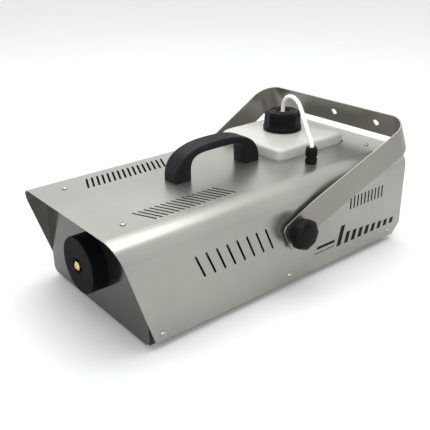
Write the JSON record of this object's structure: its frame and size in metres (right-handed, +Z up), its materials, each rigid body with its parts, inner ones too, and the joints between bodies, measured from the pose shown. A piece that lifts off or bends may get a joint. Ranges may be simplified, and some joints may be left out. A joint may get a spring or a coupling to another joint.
{
  "type": "fog machine",
  "caption": "Sheet-metal fog machine with hooded front nozzle, carry handle, tilting yoke bracket, rear fluid tank with suction hose, and heater and pump inside.",
  "frame": {"origin": "on the plane that the feet stand on, under the middle of the housing", "axes": "+Z up, +Y towards the rear, so the nozzle looks along -Y, +X to the side with the front-right corner"},
  "size_m": [0.291, 0.49, 0.2204],
  "materials": {
    "satin_steel": "satin, slightly warm grey sheet",
    "zinc_steel": "zinc-plated sheet and screws",
    "black_plastic": "satin moulded black",
    "black_rubber": "matt",
    "brass": "machined",
    "milky_plastic": "translucent white polyethylene",
    "hose_plastic": "off-white flexible tube",
    "cast_aluminium": "cast, matt",
    "mineral_sleeve": "pressed mineral wool",
    "coil_epoxy": "potted coil",
    "board_green": "circuit board",
    "transformer_core": "varnished laminations",
    "switch_red": "gloss red"
  },
  "bodies": {
    "housing": {"base_tray": "zinc_steel", "board_rails": "black_plastic", "control_board": "board_green", "feed_hose": "milky_plastic", "foot_front_left": "black_rubber", "foot_front_right": "black_rubber", "foot_rear_left": "black_rubber", "foot_rear_right": "black_rubber", "front_plate": "satin_steel", "fuse_holder": "black_plastic", "gland_body": "black_plastic", "gland_locknut": "black_plastic", "gland_nut": "black_plastic", "handle": "black_plastic", "heater_block_lower": "cast_aluminium", "heater_block_upper": "cast_aluminium", "heater_rod": "zinc_steel", "heater_sleeve": "mineral_sleeve", "heater_stand": "zinc_steel", "left_screw_1": "zinc_steel", "left_screw_2": "zinc_steel", "left_screw_3": "zinc_steel", "nozzle_guard": "black_plastic", "nozzle_tip": "brass", "pivot_nut_left": "zinc_steel", "pivot_nut_right": "zinc_steel", "power_inlet": "black_plastic", "pressure_pipe": "brass", "pump_body": "brass", "pump_bracket": "zinc_steel", "pump_coil": "coil_epoxy", "pump_spring": "zinc_steel", "rear_panel": "zinc_steel", "remote_socket": "black_plastic", "right_screw_1": "zinc_steel", "right_screw_2": "zinc_steel", "right_screw_3": "zinc_steel", "spacer_left": "black_plastic", "spacer_right": "black_plastic", "switch_frame": "black_plastic", "tank_shelf": "zinc_steel", "thermostat": "black_plastic", "top_cover": "satin_steel", "top_screw_1": "zinc_steel", "top_screw_2": "zinc_steel", "top_screw_3": "zinc_steel", "top_screw_4": "zinc_steel", "transformer": "transformer_core", "vapour_pipe": "brass"},
    "bracket": {"bracket": "satin_steel"},
    "knob_left": {"knob_left": "black_plastic"},
    "knob_right": {"knob_right": "black_plastic"},
    "tank": {"tank": "milky_plastic", "dip_tube": "milky_plastic", "suction_filter": "black_plastic", "suction_hose": "hose_plastic"},
    "tank_cap": {"tank_cap": "black_plastic"},
    "switch_rocker": {"switch_rocker": "switch_red"},
    "fuse_cap": {"fuse_cap": "black_plastic"},
    "pump_plunger": {"pump_plunger": "zinc_steel"}
  },
  "joints": [
    {"name": "bracket_tilt", "type": "hinge", "parent": "housing", "child": "bracket", "pos_m": [0, 0.0155, 0.0837], "axis": [1, 0, 0], "range_deg": [-3, 131]},
    {"name": "knob_left_turn", "type": "hinge", "parent": "housing", "child": "knob_left", "pos_m": [-0.1238, 0.0155, 0.0837], "axis": [1, 0, 0], "range_deg": [0, 360]},
    {"name": "knob_right_turn", "type": "hinge", "parent": "housing", "child": "knob_right", "pos_m": [0.1238, 0.0155, 0.0837], "axis": [1, 0, 0], "range_deg": [-360, 0]},
    {"name": "tank_lift", "type": "slide", "parent": "housing", "child": "tank", "axis": [0, 0, 1], "range_m": [0, 0.14]},
    {"name": "cap_turn", "type": "hinge", "parent": "tank", "child": "tank_cap", "pos_m": [-0.0275, 0.1335, 0.1622], "axis": [0, 0, 1], "range_deg": [0, 360]},
    {"name": "switch_rock", "type": "hinge", "parent": "housing", "child": "switch_rocker", "pos_m": [0.012, 0.231, 0.045], "axis": [1, 0, 0], "range_deg": [0, 16]},
    {"name": "fuse_cap_turn", "type": "hinge", "parent": "housing", "child": "fuse_cap", "pos_m": [0.044, 0.2355, 0.045], "axis": [0, 1, 0], "range_deg": [0, 90]},
    {"name": "plunger_stroke", "type": "slide", "parent": "housing", "child": "pump_plunger", "axis": [0, 0, 1], "range_m": [-0.003, 0], "stiffness_N_per_m": 600, "springref_m": 0.002, "deforming": ["pump_spring"]}
  ]
}
